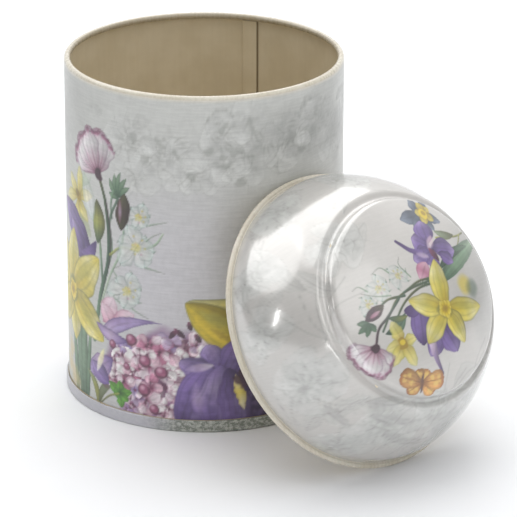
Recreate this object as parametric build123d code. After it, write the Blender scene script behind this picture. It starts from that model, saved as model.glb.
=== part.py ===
"""Round slip-lid tea caddy in tinplate, open, with its lid leaning against it.

Frame: origin at the centre of the tin's foot, +Z up, millimetres.
The lid rests on the floor plane on its curled edge and leans back against the tin's wall.
"""
import os
from math import cos, degrees, hypot, radians, sin

from build123d import *

# Sheet and running gaps
SHEET = 0.22             # thickness of every sheet
SEAM_GAP = 0.03          # space between sheets folded into one another

# Tin
TIN_RADIUS = 39.0        # outside of the wall
TIN_HEIGHT = 98.0        # foot to the top of the rim bead
BEAD_RADIUS = 0.90       # outside of the inward curled rim bead
BEAD_TURN = 290.0        # how far the bead is rolled round, degrees

# Rolled seam between wall and base
SEAM_HEIGHT = 3.46       # height of the proud ring
FOOT_BEND = 0.30         # bend radius at the foot, to mid sheet
BODY_HOOK_TOP = 2.40     # top of the wall's hook inside the ring
BASE_HOOK_END = 1.00     # lower end of the base's hook inside the ring

# Base panel
PANEL_Z = 3.60           # underside of the flat panel above the floor
PANEL_BEND = 0.80        # bend radius from panel to seam wall
STEP_RADIUS = 31.0       # circle of the stiffening step in the panel
STEP_SLOPE = 45.0        # slope of the stiffening step, degrees
STEP_BEND = 1.00         # bend radius at both edges of the step

# Lock seam down the back of the wall
LOCK_AZIMUTH = 70.7      # direction of the seam from the axis, degrees from +X
LOCK_WIDTH = 4.5         # width of the folded strip
LOCK_THICKNESS = 0.45    # how far the folds stand in from the wall
LOCK_FOOT_Z = 5.0        # bottom of the folded strip
LOCK_HEAD_DROP = 2.0     # the strip ends this far below the top of the bead
LOCK_EDGE = 0.15         # rounding of the strip's long edges
LOCK_GROOVE_WIDTH = 0.30
LOCK_GROOVE_DEPTH = 0.10

# Lid, measured from the lowest point of its curled edge along its own axis
LID_RADIUS = 39.90       # outside of the skirt
CURL_RADIUS = 0.80       # outside of the outward curled edge
CURL_TURN = 285.0        # how far the edge is rolled round, degrees
SKIRT_HEIGHT = 5.50      # straight part of the skirt, from the lid's lowest point
CORNER_BEND = 10.0       # bend radius above the skirt
CORNER_TURN = 12.5
SHOULDER_BEND = 40.6     # long curve of the shoulder
SHOULDER_TURN = 28.8
CREST_BEND = 1.60        # round edge where shoulder meets ledge
LEDGE_SLOPE = 5.5        # ledge's rise towards the middle, degrees
LEDGE_LENGTH = 0.90      # straight part of the ledge
VALLEY_BEND = 1.20       # hollow where ledge meets riser
RISER_SLOPE = 80.0       # riser's slope from level, degrees
RISER_LENGTH = 1.10      # straight part of the riser
BROW_BEND = 1.80         # round edge where riser meets dome
DOME_EDGE_SLOPE = 25.5   # slope of the dome at its edge, degrees

# Where the lid leans
LEAN = 30.0              # lid's axis above level, degrees
LEAN_AZIMUTH = -48.0     # direction in which the lid stands from the tin's axis, degrees
LEAN_GAP = 0.10          # space between the lid's curled edge and the wall


def step(point, heading, length):
    """The point at a length along a heading in degrees, in the (radius, height) plane."""
    return (point[0] + length * cos(radians(heading)), point[1] + length * sin(radians(heading)))


def side_edges(start, heading, moves, offset):
    """Edges of one side of a bent sheet, offset to the left of its middle line.

    A move is ("line", length) or ("bend", radius, turn), where a positive turn bends to the left.
    """
    edges = []
    point = step(start, heading + 90, offset)
    for move in moves:
        if move[0] == "line":
            end = step(point, heading, move[1])
            edges.append(Line(point, end))
        else:
            radius, turn = move[1], move[2]
            hand = 1 if turn > 0 else -1
            reach = radius - hand * offset
            centre = step(point, heading + 90 * hand, reach)
            middle = step(centre, heading - 90 * hand + turn / 2, reach)
            end = step(centre, heading - 90 * hand + turn, reach)
            edges.append(ThreePointArc(point, middle, end))
            heading += turn
        point = end
    return edges, point


def revolved_sheet(start, heading, moves):
    """A round part of one sheet: its middle line bent as the moves say, turned about +Z."""
    left, left_end = side_edges(start, heading, moves, SHEET / 2)
    right, right_end = side_edges(start, heading, moves, -SHEET / 2)
    ends = [Line(left[0] @ 0, right[0] @ 0), Line(left_end, right_end)]
    section = make_face(left + right + ends)
    return revolve(Plane.XZ * section, Axis.Z)


def wall_tube():
    """Wall with its hook at the foot and the inward bead at the rim."""
    middle = TIN_RADIUS - SHEET / 2
    hook_bend = SHEET + SEAM_GAP
    hook_bottom = SHEET + SEAM_GAP + SHEET / 2 + hook_bend
    bead_bend = BEAD_RADIUS - SHEET / 2
    moves = [
        ("line", BODY_HOOK_TOP - hook_bottom),
        ("bend", hook_bend, -180),
        ("line", TIN_HEIGHT - BEAD_RADIUS - hook_bottom),
        ("bend", bead_bend, BEAD_TURN),
    ]
    return revolved_sheet((middle + 2 * hook_bend, BODY_HOOK_TOP), -90, moves)


def ring_sector(inner, outer, azimuth, width, bottom, top):
    """Upright curved strip between two radii, centred on an azimuth."""
    tube = Cylinder(outer, top - bottom, align=(Align.CENTER, Align.CENTER, Align.MIN))
    tube -= Cylinder(inner, top - bottom, align=(Align.CENTER, Align.CENTER, Align.MIN))
    slab = Box(outer * 2, width, top - bottom, align=(Align.MIN, Align.CENTER, Align.MIN))
    strip = tube & slab
    return Pos(0, 0, bottom) * (Rot(0, 0, azimuth) * strip)


def lock_seam_strip():
    """The folded strip that stands in from the wall at the side seam."""
    inside = TIN_RADIUS - SHEET - LOCK_THICKNESS
    skin = TIN_RADIUS - SHEET / 2
    top = TIN_HEIGHT - LOCK_HEAD_DROP
    strip = ring_sector(inside, skin, LOCK_AZIMUTH, LOCK_WIDTH, LOCK_FOOT_Z, top)
    upright = strip.edges().filter_by(Axis.Z)
    inner_edges = [edge for edge in upright if hypot(edge.center().X, edge.center().Y) < skin - SHEET]
    return fillet(inner_edges, LOCK_EDGE)


def lock_seam_groove():
    """The fine line that the fold leaves on the outside of the wall."""
    half_turn = degrees(LOCK_WIDTH / 2 / TIN_RADIUS)
    bottom = TIN_RADIUS - LOCK_GROOVE_DEPTH
    azimuth = LOCK_AZIMUTH - half_turn
    return ring_sector(bottom, TIN_RADIUS + 1, azimuth, LOCK_GROOVE_WIDTH, LOCK_FOOT_Z, TIN_HEIGHT - LOCK_HEAD_DROP)


def make_body_wall():
    """Rolled wall: tube, bead, hook and lock seam in one sheet."""
    return wall_tube() + lock_seam_strip() - lock_seam_groove()


def make_base_pan():
    """Stamped base: stepped panel, seam wall, flat foot, and the edge rolled over the wall's hook."""
    pitch = SHEET + SEAM_GAP
    chuck_wall = TIN_RADIUS - SHEET / 2 - pitch
    outer_wall = TIN_RADIUS - SHEET / 2 + 3 * pitch
    hook_bend = pitch
    level = PANEL_Z + SHEET / 2
    step_run = 2 * STEP_BEND * sin(radians(STEP_SLOPE))
    moves = [
        ("line", STEP_RADIUS),
        ("bend", STEP_BEND, STEP_SLOPE),
        ("bend", STEP_BEND, -STEP_SLOPE),
        ("line", chuck_wall - PANEL_BEND - STEP_RADIUS - step_run),
        ("bend", PANEL_BEND, -90),
        ("line", level + 2 * STEP_BEND * (1 - cos(radians(STEP_SLOPE))) - PANEL_BEND - SHEET / 2 - FOOT_BEND),
        ("bend", FOOT_BEND, 90),
        ("line", outer_wall - chuck_wall - 2 * FOOT_BEND),
        ("bend", FOOT_BEND, 90),
        ("line", SEAM_HEIGHT - SHEET - FOOT_BEND - hook_bend),
        ("bend", hook_bend, 180),
        ("line", SEAM_HEIGHT - SHEET / 2 - hook_bend - BASE_HOOK_END),
    ]
    return revolved_sheet((0, level), 0, moves)


def make_lid_upright():
    """Drawn lid on its own axis, its lowest point at height 0 and its dome up."""
    curl_bend = CURL_RADIUS - SHEET / 2
    skirt_middle = LID_RADIUS - SHEET / 2
    curl_centre = (skirt_middle + curl_bend, CURL_RADIUS)
    start = step(curl_centre, 180 + CURL_TURN, curl_bend)
    shoulder = [
        ("bend", curl_bend, -CURL_TURN),
        ("line", SKIRT_HEIGHT - CURL_RADIUS),
        ("bend", CORNER_BEND, CORNER_TURN),
        ("bend", SHOULDER_BEND, SHOULDER_TURN),
        ("bend", CREST_BEND, 90 - LEDGE_SLOPE - CORNER_TURN - SHOULDER_TURN),
        ("line", LEDGE_LENGTH),
        ("bend", VALLEY_BEND, LEDGE_SLOPE - RISER_SLOPE),
        ("line", RISER_LENGTH),
        ("bend", BROW_BEND, RISER_SLOPE - DOME_EDGE_SLOPE),
    ]
    heading = 90 + CURL_TURN
    dome_edge = side_edges(start, heading, shoulder, 0)[1]
    dome_bend = dome_edge[0] / sin(radians(DOME_EDGE_SLOPE))
    return revolved_sheet(start, heading, shoulder + [("bend", dome_bend, DOME_EDGE_SLOPE)])


def lid_plane():
    """Plane of the leaning lid: touching the floor below and the wall above on its curled edge."""
    curl_circle = LID_RADIUS - SHEET + CURL_RADIUS
    height = curl_circle * cos(radians(LEAN)) + CURL_RADIUS - CURL_RADIUS * sin(radians(LEAN))
    reach = (TIN_RADIUS + LEAN_GAP + CURL_RADIUS
             + curl_circle * sin(radians(LEAN)) - CURL_RADIUS * cos(radians(LEAN)))
    outward = Vector(cos(radians(LEAN_AZIMUTH)), sin(radians(LEAN_AZIMUTH)), 0)
    axis = outward * cos(radians(LEAN)) + Vector(0, 0, sin(radians(LEAN)))
    across = Vector(0, 0, 1).cross(outward)
    return Plane(origin=outward * reach + Vector(0, 0, height), x_dir=across, z_dir=axis)


def make_lid():
    """The lid in its leaning place."""
    return lid_plane().location * make_lid_upright()


def write_parts():
    """Write every sub-part as its own STEP file."""
    os.makedirs("parts", exist_ok=True)
    makers = {"body_wall": make_body_wall, "base_pan": make_base_pan, "lid": make_lid}
    for name, maker in makers.items():
        export_step(maker(), f"parts/{name}.step")


write_parts()
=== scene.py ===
"""A round tea caddy of printed tinplate, open, with its lid leaning against the wall.

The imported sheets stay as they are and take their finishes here. Their printed coats are thin closed films:
two on the tin's wall and one on the lid. A ring of lacquer fills the crease above the lid's curl. The print
is painted in millimetres on each film laid out flat. On the wall, u runs round from the front and v up from
the floor. On the lid, x and y start at its middle.
"""
from math import atan2, cos, hypot, pi, radians, sin

import bpy
import numpy as np
from mathutils import Matrix, Vector


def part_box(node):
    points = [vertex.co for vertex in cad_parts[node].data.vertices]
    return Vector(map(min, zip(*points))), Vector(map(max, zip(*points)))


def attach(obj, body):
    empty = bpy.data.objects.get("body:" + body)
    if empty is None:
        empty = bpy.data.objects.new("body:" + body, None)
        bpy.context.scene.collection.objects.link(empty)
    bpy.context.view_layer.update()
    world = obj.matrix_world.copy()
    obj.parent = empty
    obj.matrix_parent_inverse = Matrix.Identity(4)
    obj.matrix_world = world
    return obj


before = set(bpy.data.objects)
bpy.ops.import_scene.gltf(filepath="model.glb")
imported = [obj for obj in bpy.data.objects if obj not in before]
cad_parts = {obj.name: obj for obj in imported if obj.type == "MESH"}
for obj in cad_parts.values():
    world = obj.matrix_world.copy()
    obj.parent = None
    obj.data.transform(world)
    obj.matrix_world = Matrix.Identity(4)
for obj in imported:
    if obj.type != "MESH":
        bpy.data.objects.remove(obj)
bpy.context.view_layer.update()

MM = 0.001

# ---------------------------------------------------------------- sizes, in millimetres

WALL_HOOK = 0.50           # the foot of the wall is hooked this far out of its face
WALL_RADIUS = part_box("body_wall")[1].x / MM - WALL_HOOK
TIN_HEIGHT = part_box("body_wall")[1].z / MM
BEAD_RADIUS = 0.90
BEAD_MIDDLE = (WALL_RADIUS - BEAD_RADIUS, TIN_HEIGHT - BEAD_RADIUS)
RING_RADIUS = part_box("base_pan")[1].x / MM
RING_TOP = 3.46
SEAM_AZIMUTH = radians(70.7)
SEAM_GROOVE = radians(67.4)
GROOVE_WIDTH = 0.30
GROOVE_DEPTH = 0.08

SHEET = 0.22
LID_RADIUS = 39.90
CURL_RADIUS = 0.80
CURL_MIDDLE = (LID_RADIUS - SHEET + CURL_RADIUS, CURL_RADIUS)
LEAN = radians(30.0)
LEAN_AZIMUTH = radians(-48.0)
LEAN_GAP = 0.10

FILM_FOOT = -0.03          # a film's underside is sunk this far into its sheet
FILM_FACE = 0.036          # and its printed face stands this far off it
WALL_PRINT = (RING_TOP + 0.05, TIN_HEIGHT - 1.0)    # the foot and the top of the wall's print
LID_PRINT_FOOT = 0.95      # the lid's print starts this far above the curl's middle
WALL_COLUMNS, WALL_PITCH = 346, 0.355
WALL_ART_TOP = 89.0        # above this the wall's film is plainer, and its rows are further apart
LID_COLUMNS, LID_PITCHES = 544, (0.8, 0.30)    # the pitches over the shoulder and in the middle
POOL_COLUMNS, POOL_ROWS = 480, 5
POOL_GAP = 0.25            # the lacquer pooled in the lid's crease stops this far inside the curl's crown
POOL_SINK = 0.01           # and is sunk this far into what it meets

MOTIF = pi * WALL_RADIUS   # the wall's print repeats on its other half
PRINT_STRENGTH = 0.92      # how strongly the ink covers its ground


def lid_frame():
    """The lid's origin, the directions across and up its face, and its axis, in millimetres."""
    toward = Vector((cos(LEAN_AZIMUTH), sin(LEAN_AZIMUTH), 0))
    axis = toward * cos(LEAN) + Vector((0, 0, sin(LEAN)))
    across = Vector((0, 0, 1)).cross(toward)
    height = CURL_MIDDLE[0] * cos(LEAN) + CURL_RADIUS * (1 - sin(LEAN))
    reach = WALL_RADIUS + LEAN_GAP + CURL_RADIUS * (1 - cos(LEAN)) + CURL_MIDDLE[0] * sin(LEAN)
    return toward * reach + Vector((0, 0, height)), across, axis.cross(across), axis


LID_ORIGIN, LID_ACROSS, LID_UP, LID_AXIS = lid_frame()

# The lid's outside from the skirt's foot to its middle: (length, 0) is straight, (radius, turn) is an arc.
LID_MOVES = (
    (4.70, 0), (10.11, 12.5), (40.71, 28.8), (1.71, 43.2), (0.90, 0),
    (1.09, -74.5), (1.10, 0), (1.91, 54.5), (61.0, 25.5),
)
LID_ART_RADIUS = 34.0      # the lid's print is finest within this distance of its middle
LID_DOME_RADIUS = 27.0     # and inside this distance the lid is a plain dome


def move_length(move):
    """Length along one move."""
    size, turn = move
    return size * abs(radians(turn)) if turn else size


LID_LENGTH = sum(move_length(move) for move in LID_MOVES)


def lid_outline(distance):
    """The (radius, height) and outward normal at a distance along the lid's outside, up from its skirt."""
    point = np.array((LID_RADIUS, CURL_RADIUS))
    heading = radians(90)
    for move in LID_MOVES:
        size, turn = move
        part = min(distance, move_length(move))
        if turn:
            side = 1 if turn > 0 else -1
            centre = point + side * size * np.array((-sin(heading), cos(heading)))
            heading += side * part / size
            point = centre - side * size * np.array((-sin(heading), cos(heading)))
        else:
            point = point + part * np.array((cos(heading), sin(heading)))
        distance -= part
        if distance <= 1e-9:
            break
    return point, np.array((sin(heading), -cos(heading)))


# ---------------------------------------------------------------- painting

def tone(code):
    """A colour from its six-digit code, as three numbers from 0 to 1."""
    return np.array([int(code[k:k + 2], 16) / 255 for k in (0, 2, 4)])


def linear(colours):
    """Display colours as the light they stand for."""
    colours = np.clip(colours, 0, 1)
    return np.where(colours <= 0.04045, colours / 12.92, ((colours + 0.055) / 1.055) ** 2.4)


def smooth(low, high, value):
    """0 below low, 1 above high, and an easy rise between."""
    t = np.clip((value - low) / (high - low), 0, 1)
    return t * t * (3 - 2 * t)


def waves(x, y, size, seed):
    """Smooth random waves from -1 to 1, about one per size millimetres."""
    cells = 64
    lattice = np.random.default_rng(seed).uniform(-1, 1, (cells, cells))
    gx, gy = np.asarray(x) / size, np.asarray(y) / size
    ix, iy = np.floor(gx).astype(int), np.floor(gy).astype(int)
    fx, fy = smooth(0, 1, gx - ix), smooth(0, 1, gy - iy)
    ix, iy, jx, jy = ix % cells, iy % cells, (ix + 1) % cells, (iy + 1) % cells
    low = lattice[ix, iy] * (1 - fx) + lattice[jx, iy] * fx
    high = lattice[ix, jy] * (1 - fx) + lattice[jx, jy] * fx
    return low * (1 - fy) + high * fy


class Canvas:
    """Points of a surface laid out flat, each with a colour."""

    def __init__(self, x, y, ground):
        self.x, self.y = x, y
        self.colour = np.tile(ground, (len(x), 1))
        self.count = 0

    def near(self, x0, x1, y0, y1):
        """The points in a box."""
        inside = (self.x > x0) & (self.x < x1) & (self.y > y0) & (self.y < y1)
        return np.nonzero(inside)[0]

    def lay(self, points, colour, cover):
        """Cover points with a colour, more or less densely."""
        self.colour[points] += (colour - self.colour[points]) * np.clip(cover, 0, 1)[:, None]

    def seed(self):
        """A new number for each thing painted."""
        self.count += 1
        return self.count


def blend_tones(tones, t):
    """Colours along a run of tones at t from 0 to 1."""
    steps = np.linspace(0, 1, len(tones))
    return np.stack([np.interp(t, steps, [c[k] for c in tones]) for k in range(3)], axis=1)


def petal(c, base, tip, width, tones, edge=None, bend=0.0, fat=1.0, blunt=0.75, veins=0, rib=0.0,
          shade=0.10, cover=1.0, frill=0.05, rim=0.45, soft=0.16):
    """A petal or leaf from base to tip. bend curves it, and fat moves its widest part towards the tip."""
    base, tip = np.array(base, float), np.array(tip, float)
    length = hypot(*(tip - base))
    ahead = (tip - base) / length
    side = np.array((-ahead[1], ahead[0]))
    middle = (base + tip) / 2
    reach = length / 2 + width + abs(bend) * length
    i = c.near(middle[0] - reach, middle[0] + reach, middle[1] - reach, middle[1] + reach)
    if not len(i):
        return
    seed = c.seed()
    dx, dy = c.x[i] - base[0], c.y[i] - base[1]
    along = (dx * ahead[0] + dy * ahead[1]) / length
    off = dx * side[0] + dy * side[1] - bend * length * 4 * along * (1 - along)
    t = np.clip(along, 0, 1)
    half = width / 2 * np.sin(pi * t ** fat) ** blunt
    half = half * (1 + frill * waves(c.x[i], c.y[i], max(width / 3, 0.8), seed))
    inside = np.where((along > 0) & (along < 1), half - np.abs(off), -1)
    across = np.clip(off / np.maximum(half, 0.05), -1, 1)
    colour = blend_tones(tones, t)
    colour = colour * (1 + shade * across * (ahead[1] - ahead[0] * 0.6))[:, None]
    if veins:
        line = np.abs(np.cos(across * pi * veins / 2)) ** 10
        colour = colour * (1 - 0.16 * line * smooth(0.0, 0.3, t) * (1 - 0.5 * t))[:, None]
    if rib:
        colour = colour * (1 - rib * np.exp(-(off / 0.28) ** 2))[:, None]
    colour = colour * (1 + 0.05 * waves(c.x[i], c.y[i], 1.4, seed + 500))[:, None]
    if edge is not None:
        near_edge = np.exp(-np.maximum(inside, 0) / rim)[:, None]
        colour = colour + (edge - colour) * near_edge * 0.6
    c.lay(i, np.clip(colour, 0, 1), cover * smooth(-soft, soft, inside))


def curve(points, steps=10):
    """A smooth line through the points."""
    p = np.array(points, float)
    p = np.vstack([2 * p[0] - p[1], p, 2 * p[-1] - p[-2]])
    t = np.linspace(0, 1, steps, endpoint=False)[:, None]
    parts = []
    for a, b, d, e in zip(p, p[1:], p[2:], p[3:]):
        square, cube = 2 * a - 5 * b + 4 * d - e, 3 * b - a - 3 * d + e
        parts.append(0.5 * (2 * b + (d - a) * t + square * t ** 2 + cube * t ** 3))
    parts.append(p[-2:-1])
    return np.vstack(parts)


def stroke(c, points, width, tones, end=None, cover=1.0, soft=0.16):
    """A brush line through points, tapering from width to end."""
    line = curve(points)
    end = width if end is None else end
    low, high = line.min(0) - width - 0.5, line.max(0) + width + 0.5
    i = c.near(low[0], high[0], low[1], high[1])
    if not len(i):
        return
    seed = c.seed()
    here = np.stack([c.x[i], c.y[i]], axis=1)
    best, place, turn = np.full(len(i), 1e9), np.zeros(len(i)), np.zeros(len(i))
    for k, (a, b) in enumerate(zip(line, line[1:])):
        run = b - a
        t = np.clip(((here - a) @ run) / max(run @ run, 1e-9), 0, 1)
        gap = here - a - t[:, None] * run
        far = np.hypot(gap[:, 0], gap[:, 1])
        closer = far < best
        best = np.where(closer, far, best)
        place = np.where(closer, (k + t) / (len(line) - 1), place)
        turn = np.where(closer, gap[:, 0] - gap[:, 1], turn)
    half = (width + (end - width) * place) / 2
    half = half * (1 + 0.10 * waves(c.x[i], c.y[i], 1.2, seed))
    colour = blend_tones(tones, place) * (1 - 0.22 * np.clip(turn / np.maximum(half, 0.1), -1, 1))[:, None]
    c.lay(i, np.clip(colour, 0, 1), cover * smooth(-soft, soft, half - best))


def dab(c, x, y, radius, colour, cover=1.0, soft=0.18, wobble=0.15):
    """A rounded touch of the brush. A soft one fades out as it spreads."""
    reach = radius + soft + 0.5
    i = c.near(x - reach, x + reach, y - reach, y + reach)
    if not len(i):
        return
    seed = c.seed()
    far = np.hypot(c.x[i] - x, c.y[i] - y)
    inside = radius * (1 + wobble * waves(c.x[i], c.y[i], max(radius, 0.6), seed)) - far
    c.lay(i, np.tile(colour, (len(i), 1)), cover * smooth(-soft, soft, inside))


# Colours of the print
GROUND, LID_GROUND = tone("c3c4c0"), tone("c9c6c2")
WHITE, CREAM, BLUSH = tone("efecec"), tone("e6dfcf"), tone("e4d3dc")
MIST, GHOST, PENCIL = tone("d0d1ce"), tone("b9bab6"), tone("74756f")
YELLOW, LEMON, GOLD, OCHRE = tone("e8d764"), tone("efe6a0"), tone("dcc02a"), tone("9c7f22")
OLIVE, MOSS, LEAF, FERN = tone("949648"), tone("494d2e"), tone("62a03a"), tone("35602a")
GREEN, PINE, SAGE = tone("6c8a6d"), tone("38513f"), tone("9fb297")
MINT, TEAL = tone("c9dad2"), tone("7fa8a0")
PURPLE, PLUM, LAVENDER, LILAC = tone("6d5794"), tone("3d2b59"), tone("a08cbe"), tone("bfa8c8")
PINK, ROSE, MAROON, WINE = tone("dcb6c6"), tone("b2708c"), tone("7b3859"), tone("3a212e")
ORANGE, RUST, SLATE, IRON = tone("c48c40"), tone("7a4519"), tone("8b98ac"), tone("485262")
DAMSON = WINE * 0.6 + MAROON * 0.4


def around(middle, reach, angle, flat=1.0):
    """The point at a distance and an angle from a middle."""
    return middle[0] + reach * cos(angle), middle[1] + flat * reach * sin(angle)


def between(start, end, share, side=0.0):
    """The point a share of the way from start to end, and a share of that length to its left."""
    dx, dy = end[0] - start[0], end[1] - start[1]
    return start[0] + share * dx - side * dy, start[1] + share * dy + side * dx


def uneven(k, shift=0.0):
    """A number from 0 to 1 that varies from one petal to the next."""
    return (k * 0.618 + shift) % 1


def petals(c, shapes, tones, **look):
    """Petals alike in tones and look, each a (base, tip, width)."""
    for base, tip, width in shapes:
        petal(c, base, tip, width, tones, **look)


def fan(c, base, tips, tones, **look):
    """Petals that spread from one base, each tip an (x, y, width)."""
    for x, y, width in tips:
        petal(c, base, (x, y), width, tones, **look)


def dabs(c, spots, colour, **look):
    """Touches of one colour, each spot an (x, y, radius)."""
    for x, y, radius in spots:
        dab(c, x, y, radius, colour, **look)


def daffodil(c, x, y, tips, cup, light=1.0):
    """Pointed petals, each tip an (x, y, width), round a frilled cup."""
    heart = (x, y)
    tones = [light * colour for colour in (GOLD * 0.9, YELLOW * 0.96, YELLOW, LEMON, YELLOW)]
    for k, (tx, ty, width) in enumerate(tips):
        tip = (tx, ty)
        petal(c, heart, tip, width, tones, edge=MOSS * 1.1, fat=0.95, blunt=0.72, veins=4, shade=0.14,
              frill=0.10, rim=0.26, bend=0.03 * (-1) ** k, soft=0.25)
        for share, cover in ((0.80, 0.35), (0.55, 0.45)):
            petal(c, heart, between(heart, tip, share), width * 0.42, (OCHRE, GOLD * light, YELLOW * light),
                  cover=cover, soft=0.9)
        start = around(heart, 1.1 * cup, atan2(ty - y, tx - x) + 0.30)
        petal(c, start, tip, width * 0.3, (OLIVE, OLIVE, GOLD), cover=0.35, soft=0.8, frill=0.3)
    dab(c, x, y, cup * 1.15, OLIVE * 0.8, cover=0.7, soft=0.5, wobble=0.35)
    for k in range(9):
        tip = around(heart, cup * (0.95 + 0.2 * (k % 2)), 2 * pi * k / 9)
        petal(c, heart, tip, cup * 0.85, (OCHRE, GOLD, YELLOW), edge=OCHRE, fat=1.5, rim=0.2, cover=0.9,
              soft=0.25, frill=0.2)
    dab(c, x - 0.1 * cup, y, cup * 0.36, OCHRE, cover=0.7, soft=cup * 0.3)


def star_flower(c, x, y, radius, turns, tones, edge, width, cover=0.9):
    """A small open flower with a petal at each turn and an ochre heart."""
    for k, turn in enumerate(turns):
        tip = around((x, y), radius * (0.85 + 0.3 * uneven(k)), turn)
        petal(c, (x, y), tip, radius * width, tones, edge=edge, fat=1.1, blunt=0.65, veins=2, cover=cover,
              frill=0.12, bend=0.05 * (-1) ** k)
    dab(c, x, y, radius * 0.22, OCHRE, cover=0.9, wobble=0.4)
    dab(c, x - 0.1 * radius, y + 0.1 * radius, radius * 0.12, OCHRE * 0.7, cover=0.7, soft=0.3)


def orchid(c, x, y, radius, turn, strength=1.0):
    """A translucent flower with fine mint edges and a speckled yellow heart."""
    heart = (x, y)
    for k in range(6):
        angle = turn + 2 * pi * k / 6
        reach = radius * (0.70 + 0.6 * uneven(k))
        tip = around(heart, reach, angle, 0.85)
        petal(c, heart, tip, radius * 0.85, (MIST, GROUND * 1.05, MINT), edge=TEAL * 0.62, fat=1.3,
              blunt=0.55, veins=2, cover=0.60 * strength, rim=0.34, frill=0.3, bend=0.10 * (-1) ** k,
              soft=0.3)
        middle = (x + 0.6 * reach * cos(angle + 0.2), y + 0.5 * reach * sin(angle + 0.2))
        stroke(c, [heart, middle, tip], 0.28, (PENCIL, TEAL), cover=0.35)
        stroke(c, [tip, around(tip, 0.9, angle + 1)], 0.45, (PINE, GREEN), end=0.2, cover=0.45)
    for k in range(9):
        speck = around(heart, radius * (0.10 + 0.045 * k), turn + 0.9 * k)
        dab(c, *speck, 0.26, ROSE if k % 4 == 1 else GOLD * 0.9, cover=0.6 * strength, soft=0.3)
    dab(c, x, y, radius * 0.2, YELLOW * 0.95, cover=0.5 * strength, soft=0.6)


def tendril(c, points):
    """A fine curling pencil line."""
    stroke(c, points, 0.5, (GREEN, PENCIL), end=0.22, cover=0.6)


def poppy(c, foot, tips, width, light=1.0):
    """A cupped flower from the side: pale petals inside a dark ragged fringe, on a dark foot."""
    middle = tips[len(tips) // 2]
    order = sorted(tips, key=lambda tip: -hypot(tip[0] - middle[0], tip[1] - middle[1]))
    for tip in order:
        petal(c, foot, tip, width, (MAROON, MAROON, LILAC, MAROON * 0.8 + PENCIL * 0.2), edge=WINE, fat=1.8,
              blunt=0.5, veins=5, frill=0.45, rim=0.3, cover=0.6, soft=0.4)
    tones = [light * colour for colour in (MAROON, PINK * 0.88, BLUSH * 0.93, WHITE * 0.97, BLUSH)]
    for tip in order:
        petal(c, foot, between(foot, tip, 0.87), width * 1.05, tones, edge=MAROON * 0.5 + IRON * 0.5,
              fat=1.8, blunt=0.48, veins=4, shade=0.14, frill=0.2, rim=0.24, cover=0.95, soft=0.25)
        for side in (-0.24, -0.12, 0.0, 0.12, 0.24):
            start = between(foot, tip, 0.80 - abs(side) * 0.3, side)
            stop = between(foot, tip, 0.97 - abs(side) * 0.5, 1.25 * side)
            petal(c, start, stop, width * 0.22, (BLUSH, MAROON * 1.1, WINE), cover=0.55, soft=0.35,
                  frill=0.8)
    for tip in tips:
        stroke(c, [foot, between(foot, tip, 0.5)], 0.7, (WINE, ROSE), end=0.2, cover=0.5, soft=0.3)
    dab(c, *foot, width * 0.24, WINE, wobble=0.4, soft=0.3)


def berry(c, x, y, radius):
    """A round dark bud with a light side."""
    dab(c, x, y, radius, DAMSON, cover=0.9, soft=0.25)
    dab(c, x - 0.05 * radius, y + 0.10 * radius, radius * 0.78, MAROON * 0.8 + ROSE * 0.25, soft=0.4)
    dab(c, x - 0.28 * radius, y + 0.34 * radius, radius * 0.36, PINK, cover=0.75, soft=radius * 0.35)
    dab(c, x + 0.35 * radius, y - 0.35 * radius, radius * 0.25, ROSE, cover=0.4, soft=0.4)


def floret(c, x, y, radius, turn, light, dark, chance):
    """A four-petalled lilac floret, no two petals quite alike."""
    dab(c, x + 0.3, y - 0.4, radius * 0.9, DAMSON, cover=0.5, soft=0.5, wobble=0.5)
    for k in range(4):
        angle = turn + pi / 2 * k + chance.uniform(-0.3, 0.3)
        reach = radius * chance.uniform(0.75, 1.25)
        petal(c, (x, y), around((x, y), reach, angle), reach * chance.uniform(0.85, 1.1),
              (dark, light, light * chance.uniform(0.90, 1.04)), edge=dark * 0.85, fat=1.35, blunt=0.45,
              shade=0.16, rim=0.26, frill=0.22, veins=1, soft=0.22, bend=chance.uniform(-0.1, 0.1))
    dab(c, x, y, radius * 0.15, MAROON * 0.9, cover=0.8, wobble=0.5)


def lilac(c, spots, pitch, chance):
    """Florets heaped on soft dark masses, each spot an (x, y, radius, petal tones)."""
    for x, y, radius, _ in spots:
        dab(c, x, y, radius * 0.95, MAROON * 0.5 + PURPLE * 0.5, cover=0.8, soft=radius * 0.3, wobble=0.4)
    places = []
    for x, y, radius, tones in spots:
        rows = int(radius / pitch) + 1
        for row in range(-rows, rows + 1):
            for column in range(-rows, rows + 1):
                px = x + pitch * (column + 0.5 * (row % 2) + chance.uniform(-0.4, 0.4))
                py = y + pitch * (0.87 * row + chance.uniform(-0.4, 0.4))
                if hypot(px - x, py - y) < radius:
                    places.append((px, py, tones[chance.integers(len(tones))]))
    for k in chance.permutation(len(places)):
        px, py, light = places[k]
        dark = (ROSE, MAROON, PURPLE)[chance.integers(3)]
        floret(c, px, py, pitch * chance.uniform(0.55, 0.80), chance.uniform(0, pi), light, dark, chance)
    for x, y, radius, tones in spots:
        for k in range(6):
            angle, turn = chance.uniform(0, 2 * pi), chance.uniform(0, 2 * pi)
            foot = around((x, y), radius * chance.uniform(0.2, 0.9), angle)
            reach = radius * chance.uniform(0.5, 0.9)
            light = tones[k % len(tones)]
            petal(c, foot, around(foot, reach, turn), reach * 0.8, (MAROON, light * 0.92, light, WHITE),
                  edge=MAROON * 0.6 + ROSE * 0.4, fat=1.25, blunt=0.5, veins=3, shade=0.16, rim=0.25,
                  frill=0.25, bend=chance.uniform(-0.15, 0.15), soft=0.25, cover=0.9)
            stroke(c, [foot, around(foot, -0.4 * reach, turn + 0.5)], 0.7, (WINE, MAROON), end=0.25,
                   cover=0.7, soft=0.3)


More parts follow.
